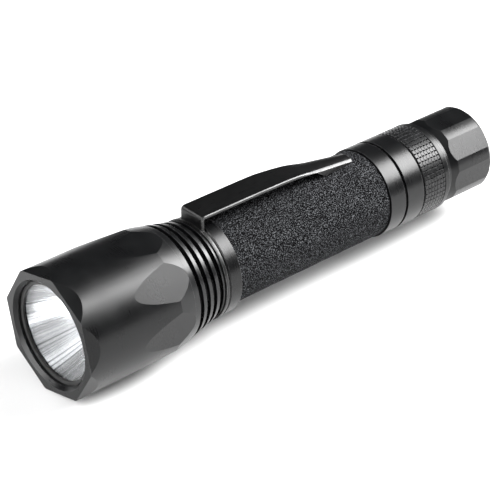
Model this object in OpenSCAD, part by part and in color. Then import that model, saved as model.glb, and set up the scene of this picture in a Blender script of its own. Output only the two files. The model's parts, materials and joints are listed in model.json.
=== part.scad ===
// Duty flashlight with a finned head, a foam grip, a pocket clip and a rear push button.
// Every piece is drawn along local +Z, from the front rim (z = 0) to the tail, with local +X
// pointing up at the clip. The module "lie" then lays the light down along +X.

/* [Head] */
// Radius of the head
head_r = 17.5; // [16.5:0.5:19]
// Radius of the front opening
opening_r = 14; // [13.5:0.1:14.4]
// Distance from the axis to the flat cuts at the front rim
bezel_flat = 16.3; // [16:0.1:16.6]
// Tilt of the flat cuts on the front rim, in degrees
bezel_tilt = 20.6; // [18:0.2:26]
// Number of flat cuts round the front rim
bezel_flats = 8; // [6:1:10]
// Where the flat cuts on the front rim start round the axis, in degrees
bezel_phase = 31.6; // [0:0.2:45]
// Where the anti-roll flats begin
roll_start = 16.8; // [14:0.2:20]
// Tilt of the anti-roll flats, in degrees
roll_tilt = 3.8; // [3:0.1:4.5]
// Where the anti-roll flats start round the axis, in degrees
roll_phase = 8; // [0:1:44]
// Where the head starts to narrow
taper_start = 29; // [27:0.5:31]
// Rear end of the head shell
head_end = 34.1; // [33.6:0.1:34.6]

/* [Fins] */
// Rear end of the finned neck
neck_end = 46.2; // [46:0.1:46.4]
// Radius at the last fin
neck_r = 13.7; // [13.5:0.1:13.9]
// Number of cooling grooves
groove_count = 4; // [2:1:5]
// Position of the first cooling groove
groove_start = 35.9; // [35.6:0.1:36.4]
// Distance from one cooling groove to the next
groove_pitch = 2.65; // [2.4:0.05:2.8]
// Width of a cooling groove
groove_w = 1.5; // [1:0.1:1.7]
// Depth of a cooling groove
groove_depth = 1.5; // [0.8:0.1:1.6]

/* [Body] */
// Radius of the bore that the cells slide in
cell_bore_r = 9; // [8.8:0.1:9.2]
// Radius of the tube under the sleeve
tube_r = 11.2; // [11:0.1:11.4]
// Radius of the collar in front of the sleeve
front_collar_r = 13.9; // [13.7:0.1:14.1]
// Front end of the sleeve
sleeve_start = 51.6; // [51:0.1:52.2]
// Rear end of the sleeve
sleeve_end = 106.6; // [106:0.1:107]
// Radius of the foam sleeve
sleeve_r = 12.5; // [12.2:0.1:12.7]
// Radius of the collars behind the sleeve
rear_collar_r = 12.9; // [12.8:0.1:13.1]
// Rear end of the body tube
tube_end = 112; // [111.8:0.1:112.2]

/* [Cells] */
// Radius of a cell
cell_r = 8.4; // [8:0.1:8.5]
// Length of a cell, with its positive cap
cell_len = 34.5; // [34:0.1:34.5]
// Position of the front cell's positive cap
cell_start = 42; // [41.8:0.1:42.2]

/* [Tail] */
// Front end of the ring behind the tube
housing_start = 113; // [112.8:0.1:113.4]
// Front end of the selector ring
ring_start = 119.5; // [119.2:0.1:119.8]
// Rear end of the selector ring
ring_end = 129.4; // [129.2:0.1:129.5]
// Number of teeth round the selector ring
tooth_count = 60; // [40:2:64]
// Turn of the selector ring each way, in degrees
ring_turn = 45; // [30:5:60]
// Front end of the tail cap
cap_start = 130.4; // [130.3:0.1:130.6]
// Rear end of the tail cap
cap_end = 146.8; // [146.6:0.1:147.2]
// Radius of the tail cap
cap_r = 12.5; // [12.3:0.1:12.7]
// Distance from the axis to the long flats of the tail cap
cap_flat = 12.1; // [12:0.05:12.2]
// Travel of the push button
press_travel = 1.8; // [1:0.1:2]

/* [Clip] */
// Thickness of the clip's steel
clip_t = 1; // [0.8:0.1:1]
// Width of the clip at its root
clip_w = 8.5; // [7.5:0.5:9]
// Width of the clip at its tip
clip_tip_w = 4.7; // [4.2:0.1:5.4]
// Height of the clip's blade above the axis
clip_top = 17.7; // [17.4:0.1:18]
// Position of the clip's tip
clip_tip = 101.3; // [99:0.1:103]

/* [Hidden] */
$fn = 96;

anodised = "#1b1c1e";
steel = "#b9bcc0";
black_steel = "#141416";

// A sliver of clearance between two pieces that turn or slide on each other.
running = 0.05;
// The middle of the light's length.
mid_z = cap_end / 2;

// Places inside the head.
lip_end = 1.8;
seal_end = 2.4;
window_end = 4.4;
bowl_end = 24.4;
head_bore_r = 15.4;
spigot_start = 27.5;
spigot_r = 13.9;
neck_bore_r = 11.2;
pill_end = 36.6;
board_start = 25.4;
board_end = 27;
driver_start = 34.2;
driver_end = 35.8;

// Places inside the tail.
tail_bore_r = 10.9;
tail_bore_start = 107.2;
tail_sleeve_end = 116;
journal_r = 11;
ball_z = 124.5;
snap_start = 129.5;
cap_bore_r = 10.4;
cap_bore_end = 140;
button_bore_r = 6.6;
contact_end = 115.4;
switch_start = 117;
switch_end = 133;
plunger_r = 4;
boot_seat = 138.2;

// Clip places: the bend at its root, and the stretches of its blade.
clip_pivot_z = 47.9;
clip_curve_start = 66;
clip_curve_end = 84;
clip_slope = 0.14;
clip_taper_start = 71;
lobe_start = 86;
lobe_low = 12.6;

// Lays the light along +X, with the clip up and the floor at zero.
module lie() translate([-mid_z, 0, head_r]) rotate([0, 90, 0]) rotate([0, 0, 180]) children();

// A tube from z0 to z1. Its bore is open at both ends.
module tube(z0, z1, r_out, r_in)
    difference() {
        translate([0, 0, z0]) cylinder(h = z1 - z0, r = r_out);
        translate([0, 0, z0 - 1]) cylinder(h = z1 - z0 + 2, r = r_in);
    }

// A plain disc or rod from z0 to z1.
module rod(z0, z1, r) translate([0, 0, z0]) cylinder(h = z1 - z0, r = r);

// A ring groove, to be cut from a round piece.
module ring_cut(z0, z1, r_floor)
    difference() {
        rod(z0, z1, 30);
        rod(z0 - 1, z1 + 1, r_floor);
    }

// A round seal, from its middle radius and the radius of its cord.
module o_ring(z, r_mid, r_cord)
    translate([0, 0, z]) rotate_extrude() translate([r_mid, 0]) circle(r = r_cord, $fn = 32);

// A wound spring from z0 to z1 whose radius runs from r0 to r1. Its ends lie nearly flat.
module coil(z0, z1, r0, r1, wire, turns) {
    sides = 6;
    per_turn = 16;
    steps = turns * per_turn;
    function rise(t) = t < 0.15 ? t * 0.3 : t > 0.85 ? 1 - (1 - t) * 0.3
        : 0.045 + (t - 0.15) * (0.91 / 0.7);
    points = [for (i = [0 : steps], k = [0 : sides - 1])
        let (t = i / steps, a = i * 360 / per_turn, b = k * 360 / sides,
            r = r0 + (r1 - r0) * t + wire * cos(b))
        [r * cos(a), r * sin(a), z0 + wire + (z1 - z0 - 2 * wire) * rise(t) + wire * sin(b)]];
    skin = [for (i = [0 : steps - 1], k = [0 : sides - 1])
        let (n = (k + 1) % sides)
        [i * sides + k, (i + 1) * sides + k, (i + 1) * sides + n, i * sides + n]];
    front = [[for (k = [0 : sides - 1]) k]];
    back = [[for (k = [sides - 1 : -1 : 0]) steps * sides + k]];
    polyhedron(points = points, faces = concat(front, skin, back), convexity = 10);
}

// One flat cut, at a distance and a tilt from the axis.
module flat_cut(z, distance, tilt, back, ahead)
    translate([distance, 0, z]) rotate([0, tilt, 0]) translate([0, -14, -back])
        cube([10, 28, back + ahead]);

// The outside of the head and the finned neck: a cylinder, then one long cone.
module head_outline()
    rotate_extrude()
        polygon([[0, 0], [head_r, 0], [head_r, taper_start], [neck_r, neck_end], [0, neck_end]]);

module roll_flats()
    for (i = [0 : 7])
        rotate([0, 0, roll_phase + i * 45])
            flat_cut(roll_start, head_r, -roll_tilt, 0, 40);

module bezel_cuts()
    for (i = [0 : bezel_flats - 1])
        rotate([0, 0, bezel_phase + i * 360 / bezel_flats])
            flat_cut(0, bezel_flat, bezel_tilt, 6, 8);

module head_shell() color(anodised) lie()
    difference() {
        intersection() {
            head_outline();
            rod(0, head_end, 30);
        }
        bezel_cuts();
        roll_flats();
        translate([0, 0, -0.01]) cylinder(h = 0.93, r1 = opening_r + 0.9, r2 = opening_r);
        rod(-1, lip_end + 1, opening_r);
        rod(lip_end, spigot_start, head_bore_r);
        rod(spigot_start - 1, head_end + 1, spigot_r);
    }

module window_seal() color("#101010") lie()
    tube(lip_end, seal_end, head_bore_r - 0.05, opening_r - 1);

module window() color("#dfe8ee", 0.35) lie()
    rod(seal_end, window_end, head_bore_r - 0.05);

// The bowl is a parabola whose focus lies at the light source.
bowl_focus = 2.3;
bowl_mouth_r = 13.6;
function bowl_z(r) = window_end + (bowl_mouth_r * bowl_mouth_r - r * r) / (4 * bowl_focus);
bowl_hole_r = 3.4;

module reflector() color("#e6e8ea") lie()
    difference() {
        rotate_extrude()
            polygon([[0, window_end], [head_bore_r - 0.05, window_end],
                [head_bore_r - 0.05, window_end + 2], [14.3, window_end + 2.4],
                [9.2, bowl_end - 5], [6.5, bowl_end - 1.2], [6.5, bowl_end + 0.6],
                [0, bowl_end + 0.6]]);
        rotate_extrude()
            polygon(concat([[0, window_end - 0.01], [bowl_mouth_r, window_end - 0.01]],
                [for (i = [0 : 14])
                    let (r = bowl_mouth_r + (bowl_hole_r - bowl_mouth_r) * i / 14) [r, bowl_z(r)]],
                [[bowl_hole_r, 30], [0, 30]]));
    }

module led_gasket() color("#ddd9cc") lie()
    tube(bowl_end + 0.6, board_start, 6.4, bowl_hole_r);

module led_dome() color("#f3e7a0") lie()
    translate([0, 0, board_start - 0.7]) intersection() {
        sphere(r = 1.3, $fn = 48);
        rod(-2, 0, 2);
    }

module led_emitter() color("#e9dc8a") lie()
    translate([-1.75, -1.75, board_start - 0.7]) cube([3.5, 3.5, 0.7]);

// The star board has six round notches in its rim for screws and wires.
module led_board() color("#f0f0ee") lie()
    difference() {
        rod(board_start, board_end, 10);
        for (i = [0 : 5])
            rotate([0, 0, i * 60]) translate([10, 0, 0]) rod(board_start - 1, board_end + 1, 1.6);
    }

// The pill carries the star board and holds the driver in its rear pocket.
module pill() color("#b08d4f") lie()
    difference() {
        union() {
            rod(board_end, spigot_start + 0.2, spigot_r - 0.3);
            rod(spigot_start, pill_end, neck_bore_r);
        }
        rod(29.5, pill_end + 1, 9.2);
        for (a = [60, 240])
            rotate([0, 0, a]) translate([8, 0, 0]) rod(board_end - 1, 30, 0.9);
    }

module driver_board() color("#1f6a3a") lie()
    rod(driver_start, driver_end, 9.15);

// Coil, chip, two capacitors and a diode on the driver board.
module driver_parts() color("#3a3a3c") lie() {
    rod(driver_start - 3, driver_start, 2.6);
    translate([3.6, -2, driver_start - 1.2]) cube([4, 4, 1.2]);
    for (y = [-1.6, 1.6])
        translate([-6.6, y - 1, driver_start - 1.4]) cube([2.2, 2, 1.4]);
    translate([-1.2, 4.6, driver_start - 1.5]) cube([2.6, 2, 1.5]);
}

module front_contact_spring() color(steel) lie()
    coil(driver_end, cell_start, 4.2, 2.4, 0.4, 5);

// The neck's front spigot screws into the head shell, and its fins shed the heat.
module fin_neck() color(anodised) lie()
    difference() {
        union() {
            rod(spigot_start + 0.2, head_end + 0.1, spigot_r);
            difference() {
                intersection() {
                    head_outline();
                    rod(head_end, neck_end, 30);
                }
                roll_flats();
            }
        }
        rod(spigot_start - 1, neck_end + 1, neck_bore_r);
        for (i = [0 : groove_count - 1])
            let (z = groove_start + i * groove_pitch,
                r = head_r - (head_r - neck_r) * (z - taper_start) / (neck_end - taper_start))
            ring_cut(z, z + groove_w, r - groove_depth);
    }

module head_o_ring() color("#0f0f10") lie()
    o_ring(41.5, 10.7, 0.5);

// The clip's ring is clamped between the finned neck and the body tube's collar.
module clip_ring() color(black_steel) lie() {
    z0 = neck_end + 0.05;
    difference() {
        union() {
            rod(z0, z0 + clip_t, 14.1);
            translate([12.5, -clip_w / 2, z0]) cube([clip_top - 12.6, clip_w, clip_t]);
        }
        rod(z0 - 1, z0 + 3, neck_bore_r + 0.05);
    }
}

// Height of the blade's upper face at a station along the light.
function blade_top(z) = clip_top - (z < clip_curve_start ? 0
    : z < clip_curve_end
        ? clip_slope * pow(z - clip_curve_start, 2) / (2 * (clip_curve_end - clip_curve_start))
        : clip_slope * (clip_curve_end - clip_curve_start) / 2 + clip_slope * (z - clip_curve_end));

// The blade in plan, narrowed by an inset on each side.
module clip_plan(inset)
    rotate([0, 90, 0]) linear_extrude(height = 30)
        polygon([[-clip_pivot_z + clip_t, -clip_w / 2 + inset],
            [-clip_taper_start, -clip_w / 2 + inset], [-clip_tip, -clip_tip_w / 2 + inset],
            [-clip_tip, clip_tip_w / 2 - inset], [-clip_taper_start, clip_w / 2 - inset],
            [-clip_pivot_z + clip_t, clip_w / 2 - inset]]);

// A side outline, given as [height, station] points, spread across the clip's width.
module clip_side(points, w)
    translate([0, w / 2, 0]) rotate([90, 0, 0]) linear_extrude(height = w) polygon(points);

blade_z = [for (i = [0 : 18]) clip_pivot_z + i * (clip_tip - clip_pivot_z) / 18];
lobe_points = [for (i = [0 : 8])
    [lobe_low + (blade_top(lobe_start) - 0.5 - lobe_low) * pow(cos(i * 90 / 8), 2),
        lobe_start + 6 * i / 8]];

// The blade tapers, bends down to the sleeve, and has a folded lobe on each side of its tip.
module clip_arm() color(black_steel) lie() {
    translate([clip_top - clip_t / 2, clip_w / 2, clip_pivot_z]) rotate([90, 0, 0])
        cylinder(h = clip_w, r = clip_t / 2);
    intersection() {
        clip_side(concat([for (z = blade_z) [blade_top(z), z]],
            [for (i = [18 : -1 : 0]) [blade_top(blade_z[i]) - clip_t, blade_z[i]]]), 20);
        clip_plan(0);
    }
    difference() {
        intersection() {
            clip_side(concat(lobe_points, [[lobe_low, 97], [13.2, clip_tip],
                [blade_top(clip_tip) - 0.2, clip_tip],
                [blade_top(lobe_start) - 0.2, lobe_start]]), 20);
            clip_plan(0);
        }
        clip_plan(0.9);
    }
}

// The tube's front end screws into the neck, and its collars hold the sleeve between them.
module body_tube() color(anodised) lie()
    difference() {
        union() {
            rod(pill_end + 0.6, 47.4, neck_bore_r);
            translate([0, 0, neck_end + clip_t + 0.1])
                cylinder(h = 0.9, r1 = front_collar_r - 0.9, r2 = front_collar_r);
            rod(48.1, sleeve_start, front_collar_r);
            rod(51, 107, tube_r);
            rod(sleeve_end, tube_end, rear_collar_r);
        }
        rod(30, tube_end + 1, cell_bore_r);
        ring_cut(40.9, 42.1, 10.2);
        rod(tail_bore_start, tube_end + 1, tail_bore_r);
    }

module grip_sleeve() color("#26272a") lie()
    tube(sleeve_start + 0.05, sleeve_end - 0.05, sleeve_r, tube_r);

// One cell's case, from behind its positive cap to its flat rear end.
module cell(z)
    rotate_extrude()
        polygon([[0, z + 1.2], [cell_r - 0.6, z + 1.2], [cell_r, z + 1.8],
            [cell_r, z + cell_len - 0.4], [cell_r - 0.4, z + cell_len], [0, z + cell_len]]);

module front_cell() color("#3b5f8a") lie() cell(cell_start);

module rear_cell() color("#3b5f8a") lie() cell(cell_start + cell_len);

module cell_caps() color(steel) lie()
    for (i = [0, 1]) rod(cell_start + i * cell_len, cell_start + i * cell_len + 1.2, 3.2);

module tail_contact_spring() color(steel) lie()
    coil(cell_start + 2 * cell_len, contact_end, 2.6, 4, 0.4, 4);

module tail_o_ring() color("#0f0f10") lie()
    o_ring(109.6, 10.45, 0.42);

// The sleeve that screws into the tube. Its rear end is pressed into the tail's frame.
module tail_sleeve() color(anodised) lie()
    difference() {
        rod(tail_bore_start + 0.3, tail_sleeve_end, tail_bore_r - running);
        rod(100, tail_sleeve_end + 1, cell_bore_r);
        ring_cut(109, 110.2, 10);
    }

// The tail's frame: it holds the sleeve, carries the ring, and takes the cap.
module switch_housing() color(anodised) lie()
    difference() {
        union() {
            rod(tube_end + 0.1, housing_start, 12.2);
            rod(housing_start, ring_start - 0.4, rear_collar_r);
            rod(housing_start, snap_start + 0.9, journal_r - running);
            rod(snap_start, 137.6, cap_bore_r);
        }
        rod(100, tail_sleeve_end, tail_bore_r - running);
        rod(100, 140, cell_bore_r);
        ring_cut(snap_start, snap_start + 0.8, 10.1);
        translate([9.4, 0, ball_z]) rotate([0, 90, 0]) cylinder(h = 3, r = 1.05);
    }

module detent_spring() color(steel) lie()
    translate([0, 0, ball_z]) rotate([0, 90, 0]) coil(9.45, 9.8, 0.6, 0.6, 0.08, 2);

module detent_ball() color(steel) lie()
    translate([10.55, 0, ball_z]) sphere(r = 0.9, $fn = 48);

// The toothed rim of the selector ring, cut straight along its length.
module toothed_rim(z0, z1) {
    step = 360 / tooth_count;
    tooth = [[12.4, 0], [12.4, 0.3], [tooth_r, 0.42], [tooth_r, 0.88]];
    translate([0, 0, z0]) linear_extrude(height = z1 - z0)
        polygon([for (i = [0 : tooth_count - 1], p = tooth)
            [p[0] * cos((i + p[1]) * step), p[0] * sin((i + p[1]) * step)]]);
}

tooth_r = rear_collar_r - 0.05;
knurl_start = ring_start + 0.3;
knurl_end = ring_start + 8.2;

// The selector ring has a toothed rim, a plain rear rim and a detent track inside.
module selector_ring() color(anodised) lie()
    difference() {
        union() {
            rod(ring_start, ring_end, 12.2);
            toothed_rim(knurl_start, knurl_end);
            rod(knurl_end, ring_end, rear_collar_r);
        }
        rod(ring_start - 1, ring_end + 1, journal_r);
        rod(ball_z - 1.1, ball_z + 1.1, 11.5);
        for (a = [-ring_turn, 0, ring_turn])
            rotate([0, 0, a]) translate([11, 0, ball_z]) sphere(r = 0.95, $fn = 48);
    }

// The retaining ring is open at the bottom, so that it can be sprung into its groove.
module snap_ring() color(black_steel) lie()
    difference() {
        tube(snap_start + 0.05, snap_start + 0.75, 11.9, 10.15);
        rotate([0, 0, 180]) translate([8, -1.5, snap_start - 1]) cube([8, 3, 4]);
    }

module switch_board() color("#1f6a3a") lie()
    rod(contact_end, switch_start, cell_bore_r);

module switch_body() color("#2c2c30") lie()
    difference() {
        rod(switch_start, switch_end, cell_bore_r - 0.05);
        rod(switch_start + 5, switch_end + 1, plunger_r + running);
    }

module return_spring() color(steel) lie()
    coil(switch_start + 5, switch_start + 10, 2.9, 2.9, 0.3, 5);

module switch_plunger() color("#c9c2ae") lie()
    rod(switch_start + 10.1, boot_seat + 0.6, plunger_r);

// The boot's clamped rim, between the housing and the cap.
module boot_flange() color("#151516") lie()
    tube(boot_seat - 0.5, cap_bore_end, cap_bore_r - 0.05, button_bore_r - 0.1);

// The boot's moving dome, which the thumb presses.
module switch_boot() color("#151516") lie()
    difference() {
        rotate_extrude()
            polygon(concat([[0, boot_seat - 0.4], [button_bore_r - 0.4, boot_seat - 0.4],
                [button_bore_r - 0.4, 143.6]],
                [for (i = [0 : 8]) let (a = i * 90 / 8)
                    [button_bore_r - 2.2 + 1.8 * cos(a), 143.8 + 1.8 * sin(a)]],
                [[0, 145.9]]));
        rod(boot_seat - 1, boot_seat + 0.6, plunger_r);
    }

// The tail cap has eight long flats, a tapered front shoulder and a button opening.
module tail_cap() color(anodised) lie()
    difference() {
        rotate_extrude()
            polygon([[0, cap_start], [11.6, cap_start], [11.6, cap_start + 0.9],
                [cap_r, cap_start + 3.1], [cap_r, cap_end - 1], [cap_r - 0.3, cap_end - 0.3],
                [cap_r - 1, cap_end], [0, cap_end]]);
        for (i = [0 : 7])
            rotate([0, 0, 6 + i * 45]) flat_cut(cap_start, cap_flat, 0, 1, 20);
        rod(cap_start - 1, cap_bore_end, cap_bore_r);
        rod(cap_bore_end - 1, cap_end + 1, button_bore_r);
        translate([0, 0, cap_end - 1.2])
            cylinder(h = 1.21, r1 = button_bore_r, r2 = button_bore_r + 1.2);
    }

head_shell();
window_seal();
window();
reflector();
led_gasket();
led_dome();
led_emitter();
led_board();
pill();
driver_parts();
driver_board();
front_contact_spring();
fin_neck();
head_o_ring();
clip_ring();
clip_arm();
body_tube();
grip_sleeve();
front_cell();
rear_cell();
cell_caps();
tail_contact_spring();
tail_o_ring();
tail_sleeve();
switch_housing();
detent_spring();
detent_ball();
selector_ring();
snap_ring();
switch_board();
switch_body();
return_spring();
switch_plunger();
boot_flange();
switch_boot();
tail_cap();
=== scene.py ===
"""The flashlight's looks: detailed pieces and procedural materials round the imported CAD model."""
import json
import math

import bmesh
import bpy
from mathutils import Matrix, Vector, noise


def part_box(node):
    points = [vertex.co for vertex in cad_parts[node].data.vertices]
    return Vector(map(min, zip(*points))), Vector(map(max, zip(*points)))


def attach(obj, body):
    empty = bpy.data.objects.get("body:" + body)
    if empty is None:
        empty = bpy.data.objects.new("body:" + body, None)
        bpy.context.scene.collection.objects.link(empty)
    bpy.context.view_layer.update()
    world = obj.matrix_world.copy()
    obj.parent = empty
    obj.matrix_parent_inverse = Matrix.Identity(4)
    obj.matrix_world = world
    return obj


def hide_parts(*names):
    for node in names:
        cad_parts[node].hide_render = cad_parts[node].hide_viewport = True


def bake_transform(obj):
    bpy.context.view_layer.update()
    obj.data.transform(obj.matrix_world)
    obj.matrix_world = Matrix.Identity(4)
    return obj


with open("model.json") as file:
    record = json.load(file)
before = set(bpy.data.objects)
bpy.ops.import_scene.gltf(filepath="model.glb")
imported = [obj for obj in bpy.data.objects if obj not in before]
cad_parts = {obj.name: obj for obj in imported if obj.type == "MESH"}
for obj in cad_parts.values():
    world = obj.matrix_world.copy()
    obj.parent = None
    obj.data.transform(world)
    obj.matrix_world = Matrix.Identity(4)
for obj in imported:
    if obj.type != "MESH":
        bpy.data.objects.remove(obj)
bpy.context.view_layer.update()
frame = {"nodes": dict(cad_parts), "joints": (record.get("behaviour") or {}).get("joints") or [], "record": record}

MM = 0.001
JOINTS = {j["name"]: j for j in frame["joints"]}
AXIS_Z = JOINTS["tail_turn"]["pos_m"][2]
FRONT_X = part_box("head_shell")[0][0]


def station(node, end):
    """Where a CAD node begins (end 0) or ends (end 1), in millimetres behind the front rim."""
    return (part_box(node)[end][0] - FRONT_X) / MM


def radius(node):
    """A round CAD node's radius in millimetres, from its width."""
    low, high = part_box(node)
    return (high[1] - low[1]) / 2 / MM


def place(s, r, angle):
    """A point s mm behind the front rim and r mm from the axis.

    Angle 0 is up, and 90 degrees is the near side.
    """
    a = math.radians(angle)
    return Vector((FRONT_X + s * MM, -r * math.sin(a) * MM, AXIS_Z + r * math.cos(a) * MM))


# ---------------------------------------------------------------- mesh helpers

CORNER_SHARE = 0.45  # the most of a side that a rounded corner may take


def finish_mesh(name, verts, faces, sharp=35.0):
    """Makes an object whose faces are smooth, apart from edges sharper than the angle given."""
    mesh = bpy.data.meshes.new(name)
    mesh.from_pydata([tuple(v) for v in verts], [], faces)
    mesh.validate()
    bm = bmesh.new()
    bm.from_mesh(mesh)
    bmesh.ops.remove_doubles(bm, verts=bm.verts, dist=1e-7)
    bmesh.ops.recalc_face_normals(bm, faces=bm.faces)
    for edge in bm.edges:
        edge.smooth = len(edge.link_faces) == 2 and edge.calc_face_angle() < math.radians(sharp)
    for face in bm.faces:
        face.smooth = True
    bm.to_mesh(mesh)
    bm.free()
    obj = bpy.data.objects.new(name, mesh)
    bpy.context.scene.collection.objects.link(obj)
    return obj


def skin(rows, close_rows=True):
    """Points and faces over rows of points, where each row is a closed ring.

    close_rows joins the last row to the first. Without it, both ends are capped.
    """
    n = len(rows[0])
    verts = [p for row in rows for p in row]
    count = len(rows)
    faces = []
    for i in range(count if close_rows else count - 1):
        a, b = i * n, ((i + 1) % count) * n
        faces += [(a + k, b + k, b + (k + 1) % n, a + (k + 1) % n) for k in range(n)]
    if not close_rows:
        faces += [tuple(range(n)), tuple(range((count - 1) * n, count * n))]
    return verts, faces


def together(*skins):
    """Several skins as one list of points and one list of faces."""
    verts, faces = [], []
    for more_verts, more_faces in skins:
        first = len(verts)
        verts += more_verts
        faces += [tuple(first + k for k in face) for face in more_faces]
    return verts, faces


def turned(profile, segments=192, shape=None):
    """Rings of points for a closed profile of (station, radius) turned about the light's axis."""
    angles = [360.0 * k / segments for k in range(segments)]
    return [[place(s, shape(s, r, a) if shape else r, a) for a in angles] for s, r in profile]


def rounded(points, size, steps=3):
    """A closed outline with each corner replaced by a short arc."""
    out = []
    count = len(points)
    for i in range(count):
        p = Vector(points[i])
        to_prev = Vector(points[i - 1]) - p
        to_next = Vector(points[(i + 1) % count]) - p
        cut = min(size, to_prev.length * CORNER_SHARE, to_next.length * CORNER_SHARE)
        a = p + to_prev.normalized() * cut
        b = p + to_next.normalized() * cut
        for k in range(steps + 1):
            t = k / steps
            out.append(tuple(a * (1 - t) ** 2 + p * 2 * t * (1 - t) + b * t * t))
    return out


def subdivide(profile, longest):
    """Adds points so that no stretch of a closed profile is longer than the length given."""
    out = []
    for i, p in enumerate(profile):
        q = profile[(i + 1) % len(profile)]
        steps = max(1, math.ceil(math.dist(p, q) / longest))
        out += [(p[0] + (q[0] - p[0]) * k / steps, p[1] + (q[1] - p[1]) * k / steps)
                for k in range(steps)]
    return out


# ---------------------------------------------------------------- materials

class Paint:
    """A small builder for one procedural material."""

    def __init__(self, name):
        self.material = bpy.data.materials.new(name)
        self.material.use_nodes = True
        self.tree = self.material.node_tree
        self.shader = self.tree.nodes["Principled BSDF"]
        self.place = self.add("ShaderNodeTexCoord").outputs["Object"]

    def add(self, kind, **settings):
        node = self.tree.nodes.new(kind)
        for key, value in settings.items():
            setattr(node, key, value)
        return node

    def link(self, a, b):
        self.tree.links.new(a, b)

    def set(self, **values):
        for key, value in values.items():
            self.shader.inputs[key.replace("_", " ")].default_value = value

    def stretched(self, scale):
        mapping = self.add("ShaderNodeMapping")
        mapping.inputs["Scale"].default_value = scale
        self.link(self.place, mapping.inputs["Vector"])
        return mapping.outputs["Vector"]

    def noise(self, size_mm, detail, where=None):
        """Noise whose features are about size_mm across."""
        node = self.add("ShaderNodeTexNoise")
        node.inputs["Scale"].default_value = 1.0 / (size_mm * MM)
        node.inputs["Detail"].default_value = detail
        self.link(where or self.place, node.inputs["Vector"])
        return node.outputs["Fac"]

    def ramp(self, fac, stops):
        node = self.add("ShaderNodeValToRGB")
        elements = node.color_ramp.elements
        while len(elements) < len(stops):
            elements.new(0.5)
        for element, (position, colour) in zip(elements, stops):
            element.position = position
            element.color = (*colour, 1)
        self.link(fac, node.inputs["Fac"])
        return node.outputs["Color"]

    def span(self, fac, low, high, from_low=0.3, from_high=0.7):
        node = self.add("ShaderNodeMapRange")
        node.inputs["From Min"].default_value = from_low
        node.inputs["From Max"].default_value = from_high
        node.inputs["To Min"].default_value = low
        node.inputs["To Max"].default_value = high
        self.link(fac, node.inputs["Value"])
        return node.outputs["Result"]

    def mix(self, fac, a, b):
        node = self.add("ShaderNodeMix", data_type="RGBA")
        self.link(fac, node.inputs["Factor"])
        for socket, value in ((node.inputs["A"], a), (node.inputs["B"], b)):
            if isinstance(value, bpy.types.NodeSocket):
                self.link(value, socket)
            else:
                socket.default_value = (*value, 1)
        return node.outputs["Result"]

    def maths(self, operation, a, b):
        node = self.add("ShaderNodeMath", operation=operation)
        for socket, value in zip(node.inputs, (a, b)):
            if isinstance(value, bpy.types.NodeSocket):
                self.link(value, socket)
            else:
                socket.default_value = value
        return node.outputs[0]

    def bump(self, height, depth_mm, strength, under=None):
        node = self.add("ShaderNodeBump")
        node.inputs["Distance"].default_value = depth_mm * MM
        node.inputs["Strength"].default_value = strength
        self.link(height, node.inputs["Height"])
        if under is not None:
            self.link(under, node.inputs["Normal"])
        return node.outputs["Normal"]

    def soft_edges(self, size_mm):
        node = self.add("ShaderNodeBevel", samples=4)
        node.inputs["Radius"].default_value = size_mm * MM
        return node.outputs["Normal"]

    def edge_mask(self, size_mm):
        """1 along sharp edges and 0 elsewhere, for wear."""
        normal = self.add("ShaderNodeNewGeometry").outputs["Normal"]
        dot = self.add("ShaderNodeVectorMath", operation="DOT_PRODUCT")
        self.link(self.soft_edges(size_mm), dot.inputs[0])
        self.link(normal, dot.inputs[1])
        return self.span(dot.outputs["Value"], 1.0, 0.0, 0.86, 0.99)

    def done(self, colour, roughness, normal=None):
        """Joins the finished values to the shader and gives the material."""
        for value, socket in ((colour, "Base Color"), (roughness, "Roughness"), (normal, "Normal")):
            if value is not None:
                self.link(value, self.shader.inputs[socket])
        return self.material


def anodised_metal():
    """Hard-anodised aluminium: nearly black, with turning marks, a fine grain and paler worn edges."""
    p = Paint("black_anodised")
    p.set(Metallic=0.0, Specular_IOR_Level=0.5, IOR=1.36)
    grain = p.noise(0.2, 2)
    smudge = p.noise(9, 4)
    turning = p.noise(1.2, 2, p.stretched((9, 0.25, 0.25)))
    wear = p.maths("MULTIPLY", p.edge_mask(0.22), p.span(p.noise(1.6, 4), 0.15, 0.75, 0.4, 0.62))
    body = p.mix(p.span(smudge, 0, 1), (0.0012, 0.0013, 0.0015), (0.0035, 0.0037, 0.004))
    colour = p.mix(wear, body, (0.07, 0.07, 0.074))
    rough = p.maths("ADD", p.span(smudge, 0.25, 0.33), p.span(turning, -0.012, 0.012))
    normal = p.bump(turning, 0.005, 0.25, p.bump(grain, 0.01, 0.6, p.soft_edges(0.12)))
    return p.done(colour, rough, normal)


def clip_steel():
    """Black oxide on spring steel, a little glossier than the anodising, with fine scuffs."""
    p = Paint("black_steel")
    p.set(Metallic=0.0, Specular_IOR_Level=0.5, IOR=1.46)
    scuff = p.noise(0.7, 5, p.stretched((0.25, 1.6, 1.6)))
    mottle = p.noise(3.5, 4)
    wear = p.maths("MULTIPLY", p.edge_mask(0.3), p.span(p.noise(1.1, 3), 0.1, 0.7, 0.4, 0.6))
    body = p.mix(p.span(mottle, 0, 1), (0.0005, 0.0005, 0.0006), (0.0014, 0.0014, 0.0015))
    rough = p.span(scuff, 0.27, 0.4)
    return p.done(p.mix(wear, body, (0.2, 0.2, 0.2)), rough, p.bump(scuff, 0.01, 0.4))


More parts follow.
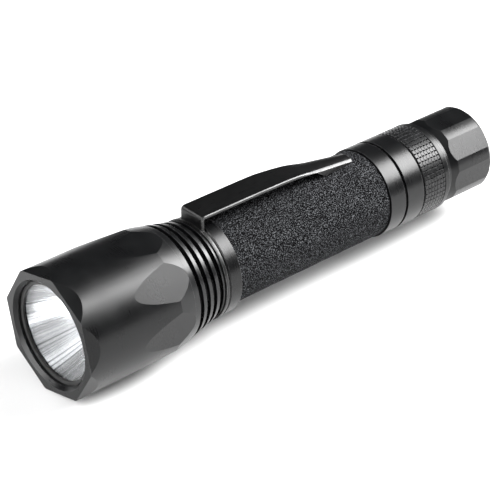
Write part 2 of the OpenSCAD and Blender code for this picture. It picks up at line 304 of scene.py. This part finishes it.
def foam_skin():
    """Closed-cell foam: dark, with a fine speckle of cut cells that catch the light."""
    cell_mm = 0.42
    p = Paint("foam")
    p.set(Specular_IOR_Level=0.02)
    cells = p.add("ShaderNodeTexVoronoi")
    cells.inputs["Scale"].default_value = 1 / (cell_mm * MM)
    p.link(p.place, cells.inputs["Vector"])
    fine = p.noise(0.29, 2)
    broad = p.noise(1.6, 3)
    height = p.maths("ADD", cells.outputs["Distance"], p.maths("MULTIPLY", fine, 0.9))
    speckle = p.ramp(fine, [(0.42, (0.0001, 0.0001, 0.0001)), (0.515, (0.0035, 0.0036, 0.004)),
                            (0.64, (0.105, 0.108, 0.114))])
    colour = p.mix(p.span(broad, 0, 0.35), speckle, (0.0015, 0.0015, 0.002))
    return p.done(colour, p.span(fine, 0.62, 0.95), p.bump(height, 0.16, 0.9))


def rubber():
    """Moulded rubber: matt, with a slight mottle and a pebbled skin."""
    shade = 0.014
    p = Paint("black_rubber")
    p.set(Specular_IOR_Level=0.35)
    fine = p.noise(0.25, 3)
    broad = p.noise(4, 3)
    colour = p.mix(p.span(broad, 0, 1), (shade,) * 3, (shade * 1.9,) * 3)
    return p.done(colour, p.span(fine, 0.5, 0.68), p.bump(fine, 0.02, 0.5))


def bowl_plating():
    """Vacuum plating on the bowl: a mirror with streaks that run out from the centre, as real bumps and roughness
    and as painted reflection in its colour.
    """
    metres_per_radian = 0.012
    p = Paint("bright_reflector")
    p.set(Metallic=1.0)
    split = p.add("ShaderNodeSeparateXYZ")
    p.link(p.place, split.inputs["Vector"])
    height = p.maths("SUBTRACT", split.outputs["Z"], AXIS_Z)
    angle = p.maths("ARCTAN2", split.outputs["Y"], height)
    join = p.add("ShaderNodeCombineXYZ")
    p.link(p.maths("MULTIPLY", angle, metres_per_radian), join.inputs["X"])
    streak_and_painted_reflection = p.noise(0.6, 3, join.outputs["Vector"])
    # Painted reflection: the streaks' colour runs from grey to white, standing in for streaked reflections in the
    # bowl.
    colour = p.ramp(streak_and_painted_reflection, [(0.36, (0.2, 0.21, 0.22)), (0.46, (0.8, 0.81, 0.83)),
                             (0.56, (0.99, 0.99, 0.99))])
    return p.done(colour, p.span(streak_and_painted_reflection, 0.16, 0.28), p.bump(streak_and_painted_reflection, 0.04, 0.6))


def clear_glass():
    """The window: clear, with a faint haze of fine wipe marks."""
    p = Paint("clear_glass")
    p.set(Transmission_Weight=1.0, IOR=1.46)
    haze = p.noise(2.5, 4, p.stretched((1, 0.4, 1.4)))
    return p.done(p.mix(haze, (0.97, 0.985, 1.0), (1, 1, 1)), p.span(haze, 0.0, 0.025))


def bright_metal(name, dark, light, rough):
    """Bare or plated metal with short turning marks and slight tarnish."""
    marks_mm = 0.5
    p = Paint(name)
    p.set(Metallic=1.0)
    marks = p.noise(marks_mm, 3, p.stretched((3, 0.5, 0.5)))
    tarnish = p.noise(2.5, 4)
    return p.done(p.mix(p.span(tarnish, 0, 1), dark, light), p.span(marks, rough, rough + 0.15),
                  p.bump(marks, 0.008, 0.4))


def moulded(name, dark, light, rough=0.42):
    """Moulded plastic, board or shrink sleeve, with a fine grain and slight colour drift."""
    grain_mm = 0.2
    p = Paint(name)
    fine = p.noise(grain_mm, 3)
    broad = p.noise(3, 3)
    return p.done(p.mix(p.span(broad, 0, 1), dark, light), p.span(fine, rough, rough + 0.16),
                  p.bump(fine, 0.012, 0.4))


def floor_paint():
    """The studio floor: pale, with a barely visible drift in its shade."""
    p = Paint("studio_floor")
    p.set(Specular_IOR_Level=0.1)
    drift = p.noise(140, 2)
    return p.done(p.mix(drift, (0.76, 0.76, 0.76), (0.79, 0.79, 0.79)), p.span(drift, 0.75, 0.85))


MATERIALS = {
    "black_anodised": anodised_metal(),
    "black_steel": clip_steel(),
    "black_rubber": rubber(),
    "foam": foam_skin(),
    "clear_glass": clear_glass(),
    "bright_reflector": bowl_plating(),
    "white_plastic": moulded("white_plastic", (0.72, 0.71, 0.66), (0.8, 0.79, 0.74)),
    "white_board": moulded("white_board", (0.78, 0.79, 0.78), (0.86, 0.87, 0.86), 0.3),
    "phosphor": moulded("phosphor", (0.82, 0.68, 0.16), (0.93, 0.82, 0.34), 0.12),
    "brass_pill": bright_metal("brass_pill", (0.5, 0.36, 0.15), (0.68, 0.52, 0.25), 0.2),
    "green_board": moulded("green_board", (0.02, 0.13, 0.05), (0.035, 0.19, 0.08), 0.28),
    "dark_plastic": moulded("dark_plastic", (0.018, 0.018, 0.02), (0.03, 0.03, 0.033)),
    "ivory_plastic": moulded("ivory_plastic", (0.62, 0.58, 0.48), (0.7, 0.66, 0.56)),
    "bright_steel": bright_metal("bright_steel", (0.5, 0.51, 0.53), (0.72, 0.73, 0.75), 0.14),
    "cell_wrap": moulded("cell_wrap", (0.02, 0.07, 0.2), (0.03, 0.1, 0.27), 0.22),
}

SLOTS = {s["node"]: s["material_slot"] for s in frame["record"]["subparts"]}


def finish_with(obj, slot):
    """Gives a piece the material of one of the record's slots."""
    obj.data.materials.clear()
    obj.data.materials.append(MATERIALS[slot])


def new_piece(obj, body, slot, *stands_for):
    """Puts a detailed piece in place of the CAD nodes that it stands for, on the body that is named; a piece given
    anything but a name is left where it stands, on no body.
    """
    finish_with(obj, slot)
    if isinstance(body, str):
        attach(obj, body)
    else:
        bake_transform(obj)
    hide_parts(*stands_for)


for node_name, node in frame["nodes"].items():
    finish_with(node, SLOTS[node_name])


# ---------------------------------------------------------------- detailed pieces

# The clip, in millimetres. Places along it are stations, and heights are above the axis.
SHEET = 0.95
CLIP_ROOT_W = 8.5
CLIP_TIP_W = 4.7
CLIP_TOP = 17.7
CLIP_TIP = station("clip_arm", 1)
CLIP_TAPER_START = 71
BEND_START = 66
BEND_END = 84
BLADE_SLOPE = 0.14
FOLD_START = 80
FOLD_LENGTH = 9
LOBE_START = 86
LOBE_FULL = 92
LOBE_LEVEL_END = 97
LOBE_LOW = 12.6
LOBE_RISE = 0.6
ROOT_CHAMFER, CHAMFER_GAIN = 0.22, 0.36
ROOT_CROWN, CROWN_GAIN = 0.08, 0.3


def foam_sleeve():
    """The foam grip: soft rounded ends, and a surface that is never quite true."""
    front, rear = station("grip_sleeve", 0), station("grip_sleeve", 1)
    outer = radius("grip_sleeve")
    bore, skin_from = 11.25, 11.8
    outline = rounded([(front, bore), (front, outer), (rear, outer), (rear, bore)], 0.55, 5)
    profile = subdivide(outline, 0.9)

    def shape(s, r, angle):
        if r < skin_from:
            return r
        where = place(s, r, angle) * (1 / MM)
        return r + 0.07 * noise.noise(where * 0.16) + 0.035 * noise.noise(where * 0.7)

    return finish_mesh("foam_sleeve", *skin(turned(profile, 240, shape)), sharp=70)


def blade_height(s):
    """Height of the clip blade's upper face above the axis."""
    bend = BEND_END - BEND_START
    if s < BEND_START:
        return CLIP_TOP
    if s < BEND_END:
        return CLIP_TOP - BLADE_SLOPE * (s - BEND_START) ** 2 / (2 * bend)
    return CLIP_TOP - BLADE_SLOPE * bend / 2 - BLADE_SLOPE * (s - BEND_END)


def lobe_height(s):
    """Height of the lower edge of the clip's folded lobes above the axis."""
    if s < LOBE_START:
        return CLIP_TOP
    if s < LOBE_FULL:
        top = blade_height(LOBE_START) - SHEET
        degrees_per_mm = 90 / (LOBE_FULL - LOBE_START)
        swing = math.radians((s - LOBE_START) * degrees_per_mm)
        return LOBE_LOW + (top - LOBE_LOW) * math.cos(swing) ** 2
    if s < LOBE_LEVEL_END:
        return LOBE_LOW
    return LOBE_LOW + LOBE_RISE * (s - LOBE_LEVEL_END) / (CLIP_TIP - LOBE_LEVEL_END)


def clip_section(half, drop, chamfer, crown):
    """Half of the sheet's cross-section as (side, depth) points, from the crown to the inside."""
    shares = (0.0, 0.25, 0.45, 0.62, 0.76, 0.88, 0.97)
    outer = [((half - chamfer) * f, crown * f * f) for f in shares]
    low = crown + chamfer * 0.95
    outer += [(half - chamfer * 0.9, crown + chamfer * 0.05),
              (half - chamfer * 0.12, low - chamfer * 0.1), (half, low)]
    edge = 0.14
    rim = [(half, max(drop - edge, low + 0.02)), (half - edge, drop), (half - SHEET + edge, drop),
           (half - SHEET, max(drop - edge, SHEET + 0.01))]
    return outer + rim + [(half - SHEET - 0.25, SHEET), (half * 0.4, SHEET)]


def pocket_clip():
    """The clip: a clamped ring, and a sheet with a riser, a bend and a blade with folded lobes."""
    front, rear = station("clip_ring", 0), station("clip_ring", 1)
    ring_front, ring_bore, ring_r = front + 0.03, 11.3, radius("clip_ring")
    bend_r = 1.2
    riser = (13.2, 14.2, 15.2, CLIP_TOP - bend_r)
    path = [(front, h) for h in riser]
    path += [(front + bend_r * (1 - math.cos(a)), CLIP_TOP - bend_r * (1 - math.sin(a)))
             for a in (math.radians(15 * k) for k in range(1, 7))]
    blade_start = front + bend_r
    steps = 64
    path += [(s, blade_height(s)) for s in
             (blade_start + (CLIP_TIP - blade_start) * k / steps for k in range(1, steps + 1))]
    rows = []
    for i, (s, h) in enumerate(path):
        before, after = path[max(i - 1, 0)], path[min(i + 1, len(path) - 1)]
        along = Vector((after[0] - before[0], after[1] - before[1])).normalized()
        inward = Vector((along.y, -along.x))
        narrowing = max(0, s - CLIP_TAPER_START) / (CLIP_TIP - CLIP_TAPER_START)
        half = (CLIP_ROOT_W + (CLIP_TIP_W - CLIP_ROOT_W) * narrowing) / 2
        fold = min(max((s - FOLD_START) / FOLD_LENGTH, 0), 1)
        fold = fold * fold * (3 - 2 * fold)
        chamfer = ROOT_CHAMFER + CHAMFER_GAIN * fold
        crown = ROOT_CROWN + CROWN_GAIN * fold
        drop = max(SHEET + 0.02, h - lobe_height(s)) if s > LOBE_START else SHEET + 0.02
        section = clip_section(half, max(drop, chamfer + crown + 0.2), chamfer, crown)
        sides = section + [(-y, d) for y, d in reversed(section[1:])]
        rows.append([place(0, 0, 0) + Vector(((s + inward.x * d) * MM, -y * MM, (h + inward.y * d) * MM))
                     for y, d in sides])
    ring = rounded([(ring_front, ring_bore), (rear, ring_bore), (rear, ring_r),
                    (ring_front, ring_r)], 0.14, 3)
    both = together(skin(rows, close_rows=False), skin(turned(ring)))
    return finish_mesh("pocket_clip", *both, sharp=32)


def knurled_ring():
    """The selector ring: seven rows of square teeth, a plain rear rim and a smooth bore."""
    front, rear = station("selector_ring", 0), station("selector_ring", 1)
    rim_r, bore_r = radius("selector_ring"), 11.05
    tip_r, bar_r, valley_r = rim_r - 0.04, 12.75, 12.22
    lead_r, land_r, groove_r = 12.1, 12.25, 12.3
    rows_of_teeth, row_pitch, tooth_len, ramp = 7, 1.14, 0.82, 0.06
    first_row, rim_start = 0.35, 8.2
    teeth = 60
    valley_w = 0.15
    phases = (0.0, valley_w, 0.5, 1 - valley_w)
    angles = [(i + phase) * 360 / teeth for i in range(teeth) for phase in phases]

    def ring(s, valley, top):
        return [place(s, valley if k % len(phases) == 0 else top, a) for k, a in enumerate(angles)]

    def plain(s, r):
        return ring(s, r, r)

    rows = [plain(front, bore_r), plain(front, lead_r), plain(front + 0.12, land_r)]
    for i in range(rows_of_teeth):
        s = front + first_row + i * row_pitch
        rows += [plain(s, bar_r), ring(s + ramp, valley_r, tip_r),
                 ring(s + tooth_len - ramp, valley_r, tip_r), plain(s + tooth_len, bar_r)]
    rim = front + rim_start
    behind_teeth = [(rim - 0.18, groove_r), (rim, groove_r), (rim + 0.02, rim_r - 0.12),
                    (rim + 0.14, rim_r), (rear - 0.2, rim_r), (rear, rim_r - 0.2), (rear, bore_r)]
    rows += [plain(s, r) for s, r in behind_teeth]
    return finish_mesh("knurled_ring", *skin(rows), sharp=28)


def button_boot():
    """The rubber boot: a clamped rim, a thin folded wall, and a ringed thumb pad on a post."""
    seat, top = station("boot_flange", 0), station("switch_boot", 1)
    pad_r = radius("switch_boot")
    post_r, wall_r, flange_r, hole_r = 3.4, pad_r - 1.1, 10.25, 0.3
    pad_depth, edge_r = 2.2, 2.1
    profile = [(seat + 1.15, hole_r), (seat + 1.15, post_r), (top - 1.6, post_r + 0.1),
               (top - 1.6, wall_r - 0.4), (top - pad_depth, wall_r), (seat + 1.4, wall_r),
               (seat + 0.05, wall_r + 0.3), (seat + 0.05, flange_r),
               (seat + 2.2, flange_r), (seat + 2.2, 7.0), (seat + 2.35, 6.5), (seat + 2.7, pad_r - 0.05),
               (seat + 3.1, pad_r - 0.35), (seat + 3.5, pad_r - 0.05)]
    profile += [(top - pad_depth + edge_r * math.sin(a), pad_r - edge_r + edge_r * math.cos(a))
                for a in (math.radians(15 * k) for k in range(6))]
    for ring_r in (3.5, 2.5, 1.5):
        profile += [(top - 0.05, ring_r + 0.3), (top - 0.3, ring_r + 0.16), (top - 0.3, ring_r - 0.16),
                    (top - 0.03, ring_r - 0.3)]
    profile.append((top - 0.02, hole_r))
    return finish_mesh("button_boot", *skin(turned(profile, 96), close_rows=False), sharp=50)


def reflector_bowl():
    """The deep bowl: a fine parabola with a rim that seats under the window."""
    mouth = station("reflector", 0)
    rear = station("reflector", 1)
    rim_r, mouth_r, hole_r, neck_r, focus = radius("reflector"), 13.6, 3.4, 6.5, 2.3
    lip = mouth + 0.01
    steps = 48
    inside = []
    for k in range(steps + 1):
        r = mouth_r + (hole_r - mouth_r) * k / steps
        inside.append((lip + (mouth_r ** 2 - r * r) / (4 * focus), r))
    outside = [(rear, hole_r), (rear, neck_r), (rear - 1.8, neck_r), (rear - 5.6, 9.2),
               (mouth + 2.4, 14.3), (mouth + 2, rim_r), (lip, rim_r)]
    return finish_mesh("reflector_bowl", *skin(turned(inside + outside, 256)), sharp=30)


foam = foam_sleeve()
new_piece(foam, "light", "foam", "grip_sleeve")
root_end = station("clip_ring", 1)
new_piece(pocket_clip(), ("light", "clip", place(root_end - 0.3, 0, 0), place(root_end + 2.2, 0, 0)),
          "black_steel", "clip_ring", "clip_arm")
new_piece(knurled_ring(), "selector", "black_anodised", "selector_ring")
seat = station("boot_flange", 0)
new_piece(button_boot(), ("tail_section", "button", place(seat + 1.8, 0, 0), place(seat + 5, 0, 0)),
          "black_rubber", "boot_flange", "switch_boot")
new_piece(reflector_bowl(), "light", "bright_reflector", "reflector")


# ---------------------------------------------------------------- camera, light and floor

CAMERA_AZIMUTH = -41.3
CAMERA_ELEVATION = 31.7
CAMERA_DISTANCE = 0.547
CAMERA_AIM = Vector((-0.0054, 0.0018, 0.01395))
LENS = 147.26
FLOOR_REACH = 3.0


def outward(azimuth, elevation):
    """Unit vector from the light to a place round and above it. Azimuth 0 is the near side."""
    a, e = math.radians(azimuth), math.radians(elevation)
    return Vector((math.sin(a) * math.cos(e), -math.cos(a) * math.cos(e), math.sin(e)))


def make_camera():
    data = bpy.data.cameras.new("camera")
    data.lens = LENS
    data.clip_start = 0.01
    camera = bpy.data.objects.new("camera", data)
    back = outward(CAMERA_AZIMUTH, CAMERA_ELEVATION)
    camera.location = CAMERA_AIM + back * CAMERA_DISTANCE
    camera.rotation_euler = (-back).to_track_quat("-Z", "Y").to_euler()
    bpy.context.scene.collection.objects.link(camera)
    bpy.context.scene.camera = camera


def softbox(name, azimuth, elevation, distance, width, height, power):
    """A rectangular lamp aimed at the light: degrees, then metres, then watts."""
    data = bpy.data.lights.new(name, "AREA")
    data.shape = "RECTANGLE"
    data.size = width
    data.size_y = height
    data.energy = power
    lamp = bpy.data.objects.new(name, data)
    back = outward(azimuth, elevation)
    lamp.location = Vector((0, 0, AXIS_Z)) + back * distance
    lamp.rotation_euler = (-back).to_track_quat("-Z", "Y").to_euler()
    bpy.context.scene.collection.objects.link(lamp)


def make_studio():
    softbox("key", 58, 42, 0.62, 0.36, 0.36, 9.6)
    softbox("side", 78, 27, 0.62, 0.3, 0.18, 3.4)
    softbox("front", -90, 24, 0.6, 0.6, 0.5, 7.6)
    softbox("back", -140, 34, 0.7, 0.2, 0.2, 1.0)
    softbox("overhead", -110, 76, 0.9, 0.5, 0.5, 0.5)
    world = bpy.data.worlds.new("studio")
    world.use_nodes = True
    sky = world.node_tree.nodes["Background"]
    sky.inputs["Color"].default_value = (0.98, 0.99, 1, 1)
    sky.inputs["Strength"].default_value = 0.09
    bpy.context.scene.world = world
    bpy.context.scene.view_settings.view_transform = "Standard"
    corners = [(-FLOOR_REACH, -FLOOR_REACH, 0), (FLOOR_REACH, -FLOOR_REACH, 0),
               (FLOOR_REACH, FLOOR_REACH, 0), (-FLOOR_REACH, FLOOR_REACH, 0)]
    floor = finish_mesh("studio_floor_plane", corners, [(0, 1, 2, 3)])
    floor.data.materials.append(floor_paint())


make_camera()
make_studio()
